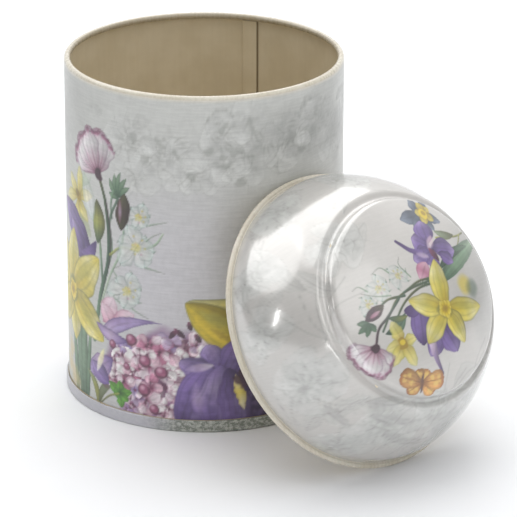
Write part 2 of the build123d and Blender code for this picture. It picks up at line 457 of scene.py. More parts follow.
def ghost_rose(c, x, y, radius, turn, cover):
    """A faint rose: broad petals hardly paler than the ground, with pencilled edges."""
    heart = (x, y)
    dab(c, x + 0.3 * radius, y - 0.3 * radius, radius * 0.9, GHOST, cover=cover * 0.35, soft=radius * 0.7,
        wobble=0.6)
    for ring, count, flat in ((1.0, 4, 0.75), (0.62, 3, 0.85), (0.3, 3, 0.9)):
        for k in range(count):
            angle = turn + 4 * ring + 2 * pi * k / count + 0.4 * sin(5 * k + x)
            reach = ring * radius * (0.8 + 0.45 * uneven(k, x * 0.1))
            petal(c, heart, around(heart, reach, angle, flat), ring * radius * 1.5,
                  (GHOST, MIST * 0.97, MIST), edge=PENCIL, fat=1.5, blunt=0.42, cover=cover, frill=0.3,
                  rim=0.22, soft=0.5, bend=0.08, veins=1, shade=0.06)
    for k in range(5):
        angle, far = turn + 1.9 * k, radius * (0.7 + 0.12 * k)
        line = [around(heart, 0.25 * radius, angle), around(heart, 0.6 * far, angle + 0.35),
                around(heart, far, angle + 0.2)]
        stroke(c, line, 0.42, (PENCIL, GHOST), end=0.2, cover=cover * 0.6, soft=0.25)


def ghost_leaf(c, foot, reach, turn, width, cover, flat=1.0, bend=0.12):
    """A faint grey leaf with pencilled edges and a midrib."""
    petal(c, foot, around(foot, reach, turn, flat), width, (GHOST * 0.93, GHOST, MIST), edge=PENCIL,
          bend=bend, rib=0.18, veins=4, cover=cover, rim=0.25, soft=0.4, shade=0.14, frill=0.3)


# Looks that many petals share
BLOOM = dict(edge=PLUM, veins=3, frill=0.15, shade=0.2)
BLADE = dict(edge=PINE, fat=0.8, shade=0.18)
LEAFLET = dict(edge=FERN, rib=0.2, frill=0.2)


# ---------------------------------------------------------------- the wall's print

def wall_ghosts(c):
    """A frieze of faint roses and leaves below the rim, darkened by painted shade at its right and left."""
    for x, y, turn in ((-20, 88, 0.5), (-7, 74, 2.6), (3, 79, 0.3), (15, 90, 2.4), (17, 77, 0.9),
                       (26, 76, 2.8), (29, 91, 0.4), (40, 91, 2.7), (39, 76, 0.6), (50, 74, 2.2),
                       (-30, 90, 2.9), (1, 91, 0.2), (22, 88, 0.2), (18, 82, 2.9), (32, 80, 0.8),
                       (47, 89, 0.1)):
        reach, cover = (8, 0.62) if x > 0 else (6.5, 0.36)
        ghost_leaf(c, (x, y), reach, turn, 3.4, cover, flat=0.7)
    for k, (x, y, radius) in enumerate(((-22, 83, 8), (-19, 73, 6), (-12, 79, 9), (-2, 76, 7), (9, 87, 9),
                                        (10, 78, 7), (24, 83, 9), (36, 86, 8), (44, 80, 8), (56, 86, 7))):
        ghost_rose(c, x, y, radius, 0.7 * k, 0.45 if x < 5 else 0.55)
    # Grey washes over the ghost leaves at the upper right: partly print, partly painted shade where the lid
    # shades the wall
    dabs(c, ((30, 86, 6), (38, 84, 8), (44, 88, 6), (22, 88, 5), (5, 84, 3), (16, 82, 4), (46, 80, 6)),
         GHOST * 0.80, cover=0.38, soft=5, wobble=0.8)
    # Painted shade: grey washes that darken the left of each repeat
    dabs(c, ((-46, 88, 9), (-54, 72, 9), (-40, 92, 5)), GHOST * 0.88, cover=0.42, soft=8, wobble=0.8)
    for x, y, radius in ((9.5, 87.0, 4.2), (10, 77.5, 3.8), (-3, 80, 4.6), (-16, 83, 3.6), (30, 82, 3.4)):
        for k in range(9):
            gap = radius * (1.15 + 0.25 * sin(3 * k + x))
            size, cover = (0.6, 0.12) if k % 3 else (1.3, 0.30)
            dab(c, *around((x, y), gap, 0.5 + 2 * pi * k / 9, 0.8), size, PENCIL, cover=cover, soft=0.7,
                wobble=1.2)
        for k in range(3):
            angle = 1.2 + x + 0.9 * k
            petal(c, around((x, y), -0.8 * radius, angle, 0.75), around((x, y), radius, angle, 0.8),
                  radius * 1.5, (GHOST, MIST, MIST * 1.02), edge=PENCIL, fat=1.4, blunt=0.45, cover=0.4,
                  veins=3, frill=0.35, rim=0.25, soft=0.4, bend=0.08)
    for x, y, turn in ((2, 88, -0.6), (5, 85, -0.9), (-8, 84, 0.3), (14, 88, -1.2), (18, 84, -1.4),
                       (24, 88, -0.4), (28, 84, 0.5), (34, 90, -0.3), (38, 92, -1.0), (42, 84, 0.9),
                       (22, 80, 1.2), (12, 82, -1.3)):
        for split in (-0.35, 0.0, 0.4):
            steps = ((0.9, 2.5), (2.4, 1.6), (4.5, 1))
            line = [around((x, y), reach, turn + lean * split) for reach, lean in steps]
            stroke(c, line, 0.6, (GHOST, PENCIL, GHOST), end=0.3, cover=0.34, soft=0.4)


def wall_stems(c):
    """The tall bunch at the left: stems, a pod and blades."""
    stroke(c, [(-25, 66), (-28, 59), (-27.5, 50), (-31, 40)], 0.8, (PINE, GREEN), cover=0.85)
    stroke(c, [(-33, 61), (-32, 52), (-31.5, 45), (-31, 38)], 0.9, (MOSS, GREEN, PINE), cover=0.9)
    stroke(c, [(-32, 71), (-29.6, 64), (-28.4, 54), (-29, 46), (-32, 36), (-35, 22)], 0.95,
           (MOSS, PINE * 0.9, PINE, GREEN), end=1.7)
    stroke(c, [(-29.2, 64), (-27.6, 54), (-28.6, 45)], 0.5, (WINE, WINE), end=0.3, cover=0.6)
    stroke(c, [(-23, 57), (-24.5, 50), (-28, 43), (-32, 33)], 0.7, (GREEN, SAGE), cover=0.75)
    stroke(c, [(-19, 52), (-24, 52), (-28, 49)], 0.8, (GREEN, OLIVE), cover=0.8)
    stroke(c, [(-11, 58), (-13.5, 54.5), (-19, 52)], 0.5, (SAGE, GREEN), end=0.9, cover=0.8)
    petal(c, (-33, 51), (-33.2, 64), 5.0, (PINE, OLIVE, MOSS), edge=MOSS * 0.8, bend=-0.06, veins=3,
          shade=0.25)
    for x, top, lean, width in ((-47, 24, 2.5, 3.0), (-43, 34, 1.5, 4.2), (-39.5, 34, -0.6, 3.6),
                                (-36.5, 26, -2.2, 2.0)):
        petal(c, (x + lean, 1), (x, top), width, (PINE, GREEN * 0.92, GREEN * 0.92, SAGE * 0.9), bend=0.02,
              rib=-0.22, veins=2, blunt=0.5, **BLADE)
    petal(c, (-33.5, 2), (-26, 11), 2.6, (MOSS, SAGE), edge=MOSS, bend=0.18)
    petal(c, (-34, 2), (-39, 12), 2.2, (OLIVE, OLIVE, SAGE), edge=MOSS, bend=-0.18)


def wall_bud(c):
    """A nodding dark bud under a spiky sepal."""
    fan(c, (-24.5, 66.5), ((-28, 71.5, 1.7), (-26, 73.2, 1.7), (-24, 74, 1.7), (-22, 72.5, 1.7),
                           (-21, 70, 1.7), (-28.2, 67.5, 1.7)), (PINE, GREEN, SAGE), edge=PINE * 0.8,
        bend=0.1)
    petal(c, (-22.6, 68), (-24, 57), 4.8, (MOSS, WINE * 0.6 + MOSS * 0.4, MOSS * 0.8), edge=WINE * 0.8,
          veins=3, shade=0.25, frill=0.12)
    petal(c, (-24.2, 66), (-24.3, 59), 1.0, (ROSE, LILAC, MAROON), cover=0.6, soft=0.35)
    stroke(c, [(-26.5, 68), (-27.5, 64), (-27.2, 60)], 0.7, (GREEN, PINE), cover=0.8)


def wall_tall_flowers(c):
    """The poppy, the yellow star, the pale petals and the purple ones."""
    star_flower(c, -42.5, 62, 9, (0.3, 1.5, 2.4, 3.4, 4.4, 5.4), (OCHRE, YELLOW * 0.96, LEMON), OLIVE, 0.42,
                0.75)
    petal(c, (-39, 70), (-35, 57), 5.5, (SAGE, WHITE, MINT), edge=GREEN, cover=0.6, veins=3)
    petal(c, (-40, 66), (-35.5, 73), 4.0, (SAGE, WHITE), edge=GREEN, cover=0.45)
    petal(c, (-42, 57), (-36, 52), 4.0, (OLIVE, SAGE), edge=OLIVE, cover=0.5, soft=0.5)
    petal(c, (-36.5, 49), (-55, 58), 9.0, (PLUM, PURPLE, PURPLE, LAVENDER), edge=PLUM, veins=4, frill=0.12,
          shade=0.2)
    petal(c, (-48, 54), (-38.5, 43.5), 7.5, (LAVENDER, PURPLE, PLUM), edge=PLUM, veins=3, frill=0.12,
          shade=0.2)
    petal(c, (-42, 46), (-33.6, 51.5), 4.0, (PURPLE, PURPLE, PLUM), edge=PLUM, bend=-0.2)
    poppy(c, (-32.5, 71.5), ((-44.5, 76.5), (-42, 81), (-37.5, 84.5), (-32, 85), (-28.2, 82.5)), 6.8, 0.92)


def wall_orchids(c):
    """Pale orchids that climb beside the stems."""
    orchid(c, -18, 62, 4.6, 0.2)
    orchid(c, -19, 53, 7.2, 0.9)
    orchid(c, -22, 39.5, 6.4, 0.3)
    for x, y, turn in ((-12, 61, 0.4), (-13, 47, -0.3), (-18, 33.5, -0.6), (-27, 37, 2.4), (-14, 57, 0.9),
                       (-27, 45, 2.0)):
        tendril(c, [(x - 3 * cos(turn), y - 2 * sin(turn)), (x, y), (x + 2.4, y + 1.6 * sin(turn))])


def wall_daffodil(c):
    """The big daffodil at the left."""
    daffodil(c, -48, 32.5, ((-61, 30, 10), (-57, 45, 9.5), (-46.5, 51.5, 10), (-32.6, 46.6, 11.5),
                            (-46, 18, 9), (-58, 21, 10), (-31, 22.3, 10.5)), 3.0, 0.90)


def wall_low_flowers(c):
    """The dense low border of lilac, berries, a pea flower and loose petals."""
    petals(c, (((-31, 28), (-27, 36.5), 6), ((-28, 29), (-20, 33), 5), ((-27, 27), (-31.5, 34), 5)),
           (ROSE, PINK, BLUSH), edge=ROSE, veins=2, fat=1.2, cover=0.85, frill=0.15)
    pale, rosy, mauve = (WHITE, WHITE, BLUSH), (ROSE * 1.15, PINK, BLUSH), (LILAC, BLUSH, LAVENDER)
    lilac(c, ((-25, 21, 4.5, mauve), (-26, 15, 4.5, pale), (-12.5, 24.5, 5.5, rosy), (-19, 14, 5.5, rosy),
              (-17, 22, 4.0, pale), (-4, 24, 5.5, (BLUSH, LILAC, WHITE)), (-8, 15, 5.0, pale),
              (-6, 9, 5.0, pale), (-16, 5, 5.5, pale), (-9, 4, 4.0, (PINK, WHITE)), (-22, 5.5, 3.0, mauve)),
          5.4, np.random.default_rng(11))
    petal(c, (-31.5, 24.5), (-11.5, 31.6), 4.6, (LILAC, LAVENDER, LAVENDER, PURPLE), edge=PLUM, bend=0.10,
          fat=0.5, blunt=1.15, veins=2, cover=0.9)
    petal(c, (-34, 27.5), (-22, 24.5), 3.6, (LAVENDER, LILAC, PURPLE), edge=PLUM, bend=-0.1)
    for berry_spot in ((-21, 25.3, 1.8), (-16.8, 19.6, 1.9), (-11.8, 17, 1.9), (-17, 11, 1.8),
                       (-27.5, 22.5, 1.2), (-14, 5.6, 1.5), (-22.5, 17, 1.1)):
        berry(c, *berry_spot)
    for x, y, lean in ((-3.6, 31.5, -0.4), (-6.4, 29.2, -1.6), (-8.4, 28.8, 1.0), (-1.4, 28, -0.8)):
        petal(c, (x - lean, y - 1.4), (x + lean, y + 1.4), 1.6, (WINE, WINE, MAROON), cover=0.9)
    petal(c, (-37, 11.5), (-27.5, 18), 7.2, (LAVENDER, LILAC, PURPLE), edge=PLUM, veins=3, fat=0.8,
          frill=0.12)
    petal(c, (-36.5, 15), (-29, 10), 5.8, (LAVENDER, PURPLE), edge=PLUM, veins=3, shade=0.2)
    petal(c, (-34, 12.5), (-31, 20), 2.0, (WHITE, LEMON), cover=0.85, soft=0.35)
    fan(c, (-25, 8.4), ((-29, 11, 2.8), (-27.5, 8, 2.8), (-25, 12.2, 2.8), (-21, 9.5, 2.8), (-24.5, 4, 2.8),
                        (-22, 6.5, 2.8)), (FERN, LEAF, LEAF), shade=0.2, **LEAFLET)
    stroke(c, [(-33, 3), (-29, 6.5), (-25.5, 8)], 0.6, (MOSS, OLIVE), cover=0.8)
    dabs(c, ((-48, 7, 3.2), (-53, 9, 2.6), (-45, 5, 2.2), (-51, 14, 2.4)), LEMON * 0.55 + ORANGE * 0.45,
         cover=0.5, soft=1.4, wobble=0.4)


def wall_iris(c):
    """Yellow tulip petals over a dark purple iris."""
    petal(c, (24, 33), (-4.6, 38.4), 10, (OCHRE, YELLOW * 0.86, LEMON * 0.88), edge=MOSS, veins=4, fat=0.85,
          blunt=0.6, bend=0.06)
    petal(c, (15.5, 22.5), (-4.8, 38.3), 11.5, (OCHRE, GOLD * 0.80, GOLD * 0.84, GOLD * 0.86), edge=MOSS,
          veins=3, fat=0.95, blunt=0.7, shade=0.22, soft=0.3)
    petal(c, (13, 27), (-1, 36), 4.0, (MOSS, OLIVE, OLIVE), cover=0.45, soft=1.0, frill=0.4)
    petal(c, (12, 25), (-2, 33), 4.4, (GOLD * 0.9, GOLD * 0.94, GOLD), cover=0.6, soft=1.0, frill=0.3)
    petal(c, (9, 26), (2, 31), 1.6, (OCHRE * 0.8, OCHRE), cover=0.5, soft=0.5, frill=0.4)
    for base, tip, width, tones in (
        ((6, 17), (1, 26), 8, (PURPLE, PURPLE, LAVENDER)),
        ((6, 16), (12, 27.5), 11, (PLUM, PURPLE, PURPLE)),
        ((5, 15), (-6.5, 21), 7, (PURPLE, PURPLE, LAVENDER)),
        ((2, 20), (-5.5, 0), 13, (PURPLE, PURPLE * 1.08, PURPLE * 0.92, PLUM)),
        ((5, 20), (3.5, -1), 13, (PURPLE, LAVENDER * 0.82, PURPLE, PLUM)),
        ((10, 18), (25, 5), 14, (WINE, PLUM * 0.8, PLUM)),
        ((9, 16), (17, -1), 13, (PLUM, PLUM * 0.75, PLUM)),
        ((7, 19), (10, 0), 9, (PLUM, PURPLE * 0.92, PURPLE * 0.85)),
    ):
        petal(c, base, tip, width, tones, edge=PLUM, veins=5, fat=1.15, blunt=0.55, frill=0.22, shade=0.22,
              soft=0.35)
        for k in range(7):
            side = 0.28 * (-1) ** k * (1 - 0.1 * k)
            px, py = between(base, tip, 0.35 + 0.09 * k, side * width / 40)
            dab(c, px + side * 3, py, 0.9 + 0.1 * k, PLUM if k % 2 else LAVENDER, cover=0.28, soft=0.9,
                wobble=0.8)
    petal(c, (3, 20), (-5, 18.5), 2.4, (WHITE, LILAC, LAVENDER), cover=0.75, soft=0.5)
    petal(c, (-2, 15), (-1, 4), 3.0, (LAVENDER, LILAC, PURPLE), cover=0.55, soft=1.0)
    petal(c, (9, 17), (11.6, 6), 3.0, (CREAM, YELLOW, WHITE), edge=OCHRE, cover=0.95, frill=0.3)
    petal(c, (8, 16), (16, 13), 3.4, (WINE, WINE), cover=0.8, soft=0.5, frill=0.4)


def wall_right_flowers(c):
    """The border's lower right, which runs on to the next repeat."""
    for x, top in ((26, 26), (34, 20), (52, 22), (57, 17)):
        petal(c, (x, 1), (x + 4, top), 3.2, (PINE, GREEN, SAGE), bend=-0.06, rib=-0.2, **BLADE)
    orchid(c, 28, 24, 5.5, 0.6)
    orchid(c, 51, 20, 5.0, 1.4)
    lilac(c, ((27, 9, 6, (WHITE, PINK, BLUSH)), (35, 6, 5, (LILAC, PINK)),
              (48, 7, 5.5, (WHITE, LILAC, PINK))), 4.0, np.random.default_rng(12))
    daffodil(c, 40, 17, ((49, 20, 6), (44, 26.5, 6), (34.5, 25, 6), (31.5, 15, 6), (37.5, 8, 6),
                         (46, 10, 6)), 2.0)
    for x, y in ((30, 13), (34, 10), (45, 9), (51, 12), (25, 15)):
        berry(c, x, y, 1.6)
    fan(c, (56, 6), ((58, 10, 3.0), (59.8, 6, 3.0), (55, 12, 3.0), (54, 3, 3.0)), (FERN, LEAF), **LEAFLET)


def paint_wall(u, v):
    """The wall's print: two repeats of one garden, with a bare margin along the lock seam."""
    motif_u = (u + MOTIF / 2) % MOTIF - MOTIF / 2
    c = Canvas(motif_u, v, GROUND)
    every = np.arange(len(u))
    cloud = 0.6 * waves(u, v, 17, 3) + 0.4 * waves(u, v, 6, 4)
    c.colour *= (1 + 0.02 * cloud)[:, None]
    c.lay(every, tone("c4c0cb"), 0.55 * smooth(30, 6, np.abs(motif_u + 10)) * smooth(95, 45, v))
    for part in (wall_ghosts, wall_right_flowers, wall_stems, wall_orchids, wall_tall_flowers, wall_bud,
                 wall_daffodil, wall_low_flowers, wall_iris):
        part(c)
    c.colour = c.colour * PRINT_STRENGTH + GROUND * (1 - PRINT_STRENGTH)
    seam_u = (SEAM_AZIMUTH + pi / 2) * WALL_RADIUS
    c.lay(every, CREAM, 0.9 * smooth(2.4, 2.0, np.abs(u - seam_u + 1.1)))
    c.lay(every, CREAM * 0.94, 0.7 * smooth(WALL_PRINT[1] - 0.9, WALL_PRINT[1] - 0.4, v))
    return c.colour


# ---------------------------------------------------------------- the lid's print

def lid_ghosts(c):
    """Faint roses and leaves over the shoulder and the dome, with painted shade on the right and lower
    shoulder.
    """
    for x, y, turn in ((-33, -22, 2.4), (-36, -30, 0.5), (-12, -40, 0.2), (-3, -46, 2.8), (14, -30, 0.5),
                       (-52, -4, 1.4), (-50, 8, 0.6), (-38, 38, 0.9), (-12, 48, 2.7), (-14, 32, 0.4),
                       (-26, 8, 2.2), (12, -27, 0.3), (-18, 14, 0.8), (30, 44, 1.0), (46, 16, 1.4),
                       (0, -52, 0.4), (2, -30, 0.5), (-16, -28, 2.9), (-34, 12, 1.9), (18, -44, 0.9),
                       (-44, -34, 0.9)):
        ghost_leaf(c, (x, y), 13, turn, 6.0, 0.34)
    for k, spot in enumerate(((-41, -15, 11), (-20, -36, 12), (-34, -42, 9), (8, -42, 11), (26, -38, 11),
                              (-50, 4, 9), (-46, 24, 10), (-26, 44, 11), (2, 44, 10), (34, 32, 10),
                              (47, 4, 9), (42, -20, 10), (-20, 20, 9), (20, 44, 9), (-2, -32, 8))):
        ghost_rose(c, *spot, 0.9 * k, 0.50)
    # Leaves across the lower shoulder, drawn stronger than the rest, partly as painted shade
    for x, y, turn, reach in ((-26, -25, -0.2, 15), (-25, -30, -0.4, 16), (-12, -29, -0.1, 16),
                              (0, -29, 0.0, 18), (-6, -36, -0.1, 17), (-20, -38, -0.6, 14),
                              (8, -34, 0.3, 15), (-38, -24, -0.9, 12)):
        ghost_leaf(c, (x, y), reach, turn, 5.0, 0.42, bend=-0.10)
    # Grey washes on the right and lower shoulder: painted shade over the print's ghost leaves
    dabs(c, ((16, -33, 6), (26, -36, 6), (34, -26, 6), (-22, -27, 3), (8, -45, 6), (24, -8, 8), (25, 8, 7),
             (40, -10, 8), (20, -42, 7)), GHOST * 0.82, cover=0.42, soft=6, wobble=0.8)
    daisy = (-43, -17)
    for k in range(11):
        petal(c, daisy, around(daisy, 5.6, 2 * pi * k / 11), 2.4, (GHOST, MIST, MIST), edge=PENCIL, fat=1.3,
              blunt=0.5, cover=0.5, frill=0.2, rim=0.22, soft=0.3)
    dab(c, *daisy, 1.6, GHOST * 0.92, cover=0.6, soft=0.4, wobble=0.4)
    for k, (x, y, turn) in enumerate(((10, -27, 0.4), (-2, -36, 0.9), (-30, -6, 1.9), (-40, 30, 0.9),
                                      (-14, -50, 0.1), (-12, 30, 0.5), (-44, -32, 2.2), (-26, -24, 2.9),
                                      (16, -34, 0.1), (-52, 14, 1.2), (-20, -46, 0.4), (-34, -4, 0.9))):
        far = 13 + 3 * (k % 3)
        for split in (-0.25, 0.0, 0.3):
            middle = around((x, y), 0.5 * far, turn + 0.3 + split)
            stroke(c, [(x, y), middle, around((x, y), far, turn + 1.5 * split)], 0.6, (GHOST, PENCIL),
                   end=0.25, cover=0.32, soft=0.3)


def lid_top_flowers(c):
    """The blue-grey flower, the purple bloom, the sprig and the blade at the top of the bouquet."""
    stroke(c, [(11, 13), (19, 12), (24, 12.5), (29, 14)], 0.6, (OLIVE, MOSS), end=0.4)
    stroke(c, [(22, 12.2), (19.5, 10), (17, 8.4)], 0.5, (OLIVE, MOSS), end=0.3)
    petal(c, (19, 12.5), (11.5, 15), 2.6, (MOSS, SAGE), edge=MOSS, bend=0.1)
    petal(c, (5, 1), (30, 10), 5.4, (PINE, GREEN, GREEN, SAGE), edge=PINE, bend=0.03, rib=-0.25, veins=3,
          fat=0.9, shade=0.22)
    petal(c, (6, 4), (23, 8.5), 2.6, (PINE, PINE, GREEN), edge=PINE * 0.8, bend=0.08)
    fan(c, (10.5, 20.5), ((2, 20.8, 4.4), (5, 17, 3.6), (9.5, 26, 3.8), (15.5, 25, 3), (16.5, 17, 3.4),
                          (12, 15, 3)), (IRON, IRON, SLATE), edge=IRON * 0.9, veins=2, frill=0.15,
        shade=0.2)
    star_flower(c, 12, 20.8, 3.6, (0.4, 1.6, 2.9, 4.1, 5.3), (OCHRE, YELLOW), OCHRE * 0.8, 0.8)
    dab(c, 11.8, 20.8, 1.6, GOLD, wobble=0.3)
    dab(c, 11.8, 20.8, 0.8, OCHRE, cover=0.8)
    petals(c, (((7, 11), (2, 15), 6.4), ((7, 12), (8.5, 19), 7.0), ((7, 11), (16, 8.2), 6.4),
               ((8, 10), (-0.8, 8.8), 5.8), ((8, 9), (4, 5.4), 4.4), ((9, 9), (13.4, 5.2), 4.4)),
           (PLUM, PURPLE, PURPLE, LAVENDER), fat=1.2, rim=0.25, **BLOOM)
    stroke(c, [(3, 10), (-0.5, 12), (-3.4, 15.4)], 2.0, (PURPLE, PLUM), end=0.8)
    petal(c, (6, 10.5), (9.5, 14), 2.2, (BLUSH, PINK), cover=0.7, soft=0.5)
    petal(c, (1, 10.5), (5, 8.5), 1.6, (LILAC, BLUSH), cover=0.6, soft=0.5)
    petal(c, (3, 7.4), (-1.2, 3.2), 5.0, (PINK, ROSE, PINK), edge=ROSE, veins=2, frill=0.2)
    petal(c, (8, 6.6), (6.2, 11), 2.0, (WINE, MAROON), cover=0.9)


def lid_stems(c):
    """Stems that run to the left, with a pod, a sprig and faint pale flowers above."""
    orchid(c, -14.5, 4.8, 4.2, 0.4, 0.6)
    orchid(c, -7.5, 6.5, 3.6, 1.2, 0.6)
    orchid(c, -19, 1.5, 3.0, 0.9, 0.6)
    for points in (((-10, 8), (-12, 10), (-15, 9)), ((-4, 5), (-6, 9), (-5, 11)),
                   ((-18, 5), (-20, 7), (-22, 6.5)), ((-12, 2), (-16, 3), (-20, 5))):
        tendril(c, points)
    for points in (((4, 2.5), (-4, 2.2), (-10, 0.8), (-14, -2.6), (-17.5, -6.5)),
                   ((4, 1.6), (-3, 1.4), (-9, -1.2), (-14, -6)), ((-8, 0.8), (-13, 1.2), (-16, 0.2)),
                   ((3, 3), (-2, 3.2), (-8, 1.6))):
        stroke(c, points, 0.75, (PINE, MOSS, PINE), end=0.55)
    stroke(c, [(-10, 0.5), (-15, -3.2), (-18.5, -5.6), (-20.5, -9.6)], 0.7, (PINE, WINE))
    petal(c, (-15, 0.2), (-21.5, -2.4), 3.4, (MOSS, WINE, WINE), edge=WINE * 0.7, veins=2, shade=0.2)
    petal(c, (-16.5, -0.9), (-20, -2), 1.1, (PINK, ROSE), cover=0.7, soft=0.25)
    fan(c, (-20.4, -3.2), ((-24, -2.4, 1.7), (-24.4, -5, 1.7), (-22.4, -6.6, 1.7), (-19.4, -6, 1.7)),
        (PINE, GREEN), edge=PINE * 0.8)
    petal(c, (-9.5, -3.6), (-17, -7.4), 3.0, (GREEN, PINE), edge=PINE * 0.8, bend=0.15, rib=0.2)
    petal(c, (-9, -4.5), (-15, -3.4), 1.8, (OLIVE, PINE), edge=PINE * 0.8, bend=0.1)


def lid_low_flowers(c):
    """The small star, the purple petals behind the daffodil, and the hanging poppy."""
    fan(c, (-12.5, -11), ((-14.5, -4.6, 3.8), (-18, -11.5, 3.2), (-17, -16.4, 3.6), (-9.8, -18.2, 3.8),
                          (-8, -10.5, 3.2)), (OCHRE, YELLOW * 0.95, LEMON), edge=OLIVE, veins=2, cover=0.85,
        frill=0.18)
    dab(c, -12.6, -11.2, 1.4, OCHRE, wobble=0.4)
    dab(c, -12.7, -10.9, 0.8, GOLD)
    petal(c, (-4.5, -2), (-6.4, -13.6), 7.0, (PLUM, PURPLE, PURPLE, PLUM), **BLOOM)
    petal(c, (-5, -4.6), (-9.8, -3.0), 3.4, (PURPLE, PLUM), edge=PLUM)
    petal(c, (2, -9), (-4.8, -17), 7.0, (PLUM, PURPLE, PURPLE, LAVENDER), fat=1.2, **BLOOM)
    petal(c, (1, -8.5), (5.4, -18), 7.4, (PLUM, PURPLE, PURPLE), fat=1.3, **BLOOM)
    stroke(c, [(-3.4, -13), (-2.8, -18), (-1.2, -22.6)], 2.6, (LILAC, PLUM), end=0.6)
    petal(c, (-3, -12), (-4, -17), 1.6, (BLUSH, LILAC), cover=0.6, soft=0.4)
    poppy(c, (-20.8, -10), ((-29.4, -10.6), (-27.6, -14.6), (-24.2, -17.8), (-20.6, -19.2), (-17.8, -17)),
          5.2)


def butterfly(c, x, y, tilt):
    """A small orange butterfly seen from above, its wings spread and edged in brown."""
    def spot(across, up):
        return x + across * cos(tilt) - up * sin(tilt), y + across * sin(tilt) + up * cos(tilt)

    for across, up, width, light in ((2.6, 3.0, 4.4, 1.05), (-2.6, 3.2, 4.6, 0.95), (4.6, -2.6, 4.6, 1.10),
                                     (-4.6, -2.6, 4.6, 1.0), (7.6, 1.4, 5.4, 1.10), (-7.4, 1.8, 5.6, 0.92)):
        petal(c, spot(0, 0), spot(across, up), width, (RUST, ORANGE * light, ORANGE * light, RUST * 1.25),
              edge=RUST * 0.8, veins=5, fat=1.7, blunt=0.42, rim=0.30, frill=0.14, shade=0.15)
        for share, side in ((0.45, 0.10), (0.62, -0.12), (0.74, 0.12), (0.80, -0.06)):
            dab(c, *spot(*between((0, 0), (across, up), share, side)), 0.62, YELLOW * 0.65 + ORANGE * 0.4,
                cover=0.65, soft=0.35, wobble=0.6)
        stroke(c, [spot(0.1 * across, 0.1 * up), spot(0.92 * across, 0.92 * up)], 0.3, (RUST * 0.8, RUST),
               end=0.2, cover=0.6)
    petal(c, spot(0, 2.4), spot(0, -3.0), 1.0, (WINE, RUST * 0.8, WINE), cover=0.95)


def paint_lid(x, y):
    """The lid's print: one bouquet in the middle of faint roses."""
    c = Canvas(x, y, LID_GROUND)
    cloud = 0.6 * waves(x, y, 15, 5) + 0.4 * waves(x, y, 5, 6)
    c.colour *= (1 + 0.025 * cloud)[:, None]
    for part in (lid_ghosts, lid_top_flowers, lid_stems, lid_low_flowers):
        part(c)
    dab(c, 14.5, -1.6, 2.6, GOLD, cover=0.6, soft=1.2)
    dab(c, 17.5, -3.0, 2.4, PINE, cover=0.5, soft=1.2)
    daffodil(c, 4, -6, ((6.2, 7.6, 6.6), (19, -8.4, 7.0), (8.8, -16.4, 6.2), (-4.8, -13.4, 6.6),
                        (-7.4, -0.8, 6.4)), 2.4, 0.94)
    butterfly(c, -8.8, -23.2, -0.27)
    c.colour = c.colour * PRINT_STRENGTH + LID_GROUND * (1 - PRINT_STRENGTH)
    return c.colour


# ---------------------------------------------------------------- printed films

def grid_faces(index, wrap):
    """Four-cornered faces over a grid of vertex numbers, column by column."""
    a = index if wrap else index[:-1]
    b = np.roll(index, -1, axis=0) if wrap else index[1:]
    return np.stack([a[:, :-1], b[:, :-1], b[:, 1:], a[:, 1:]], axis=-1).reshape(-1, 4).tolist()


def add_mesh(name, points, faces, finish):
    """An object from points in metres, shaded smooth except across its sharp edges."""
    mesh = bpy.data.meshes.new(name)
    mesh.from_pydata(points.tolist(), [], faces)
    mesh.polygons.foreach_set("use_smooth", np.ones(len(mesh.polygons), bool))
    mesh.set_sharp_from_angle(angle=radians(35))
    mesh.materials.append(finish)
    thing = bpy.data.objects.new(name, mesh)
    bpy.context.scene.collection.objects.link(thing)
    return thing


def keep_on_points(mesh, name, kind, field, values):
    """Give each point of a mesh a value that its finish can read."""
    data = mesh.attributes.new(name, kind, "POINT").data
    data.foreach_set(field, values.astype(np.float32).ravel())


def make_film(name, face, foot, pole, flat, paint, ground, body, finish):
    """A closed film between two grids of points in metres: its painted face, and its foot on the sheet.

    Both grids have the same columns. Where there is a pole, a point for each grid, the columns go all the
    way round and the last row closes on it.
    """
    columns, rows = face.shape[:2]
    wrap = pole is not None
    index = np.arange(columns * rows).reshape(columns, rows)
    under = columns * rows + np.arange(columns * foot.shape[1]).reshape(columns, -1)
    points = np.vstack([face.reshape(-1, 3), foot.reshape(-1, 3)])
    rims = [np.stack([under[:, 0], index[:, 0]], axis=1)]
    faces = grid_faces(index, wrap) + grid_faces(under[:, ::-1], wrap)
    if wrap:
        top, low = len(points) + np.arange(2)
        points = np.vstack([points, pole])
        after = np.roll(np.arange(columns), -1)
        faces += np.stack([index[:, -1], index[after, -1], np.full(columns, top)], axis=1).tolist()
        faces += np.stack([under[after, -1], under[:, -1], np.full(columns, low)], axis=1).tolist()
    else:
        rims.append(np.stack([index[:, -1], under[:, -1]], axis=1))
    for rim in rims:
        faces += grid_faces(rim, wrap)
    if not wrap:
        faces.append(index[0].tolist()[::-1] + under[0].tolist())
        faces.append(index[-1].tolist() + under[-1].tolist()[::-1])
    film = add_mesh(name, points, faces, finish)
    colour = np.ones((len(points), 4))
    colour[:, :3] = linear(ground)
    laid = np.zeros((len(points), 3))
    colour[:len(paint), :3] = linear(paint)
    laid[:len(flat), :2] = flat
    keep_on_points(film.data, "paint", "FLOAT_COLOR", "color", colour)
    keep_on_points(film.data, "laid_out", "FLOAT_VECTOR", "vector", laid)
    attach(film, body)


def wall_points(azimuth, v, off):
    """Points a little off the wall and down into its seam's groove. Each v may have its own off."""
    away = np.abs(azimuth - SEAM_GROOVE) * WALL_RADIUS
    radius = WALL_RADIUS - GROOVE_DEPTH * smooth(GROOVE_WIDTH, GROOVE_WIDTH / 3, away)
    a, b = np.meshgrid(azimuth, v, indexing="ij")
    r = radius[:, None] + np.zeros(len(v)) + off
    return np.stack([r * np.cos(a), r * np.sin(a), b], axis=-1) * MM


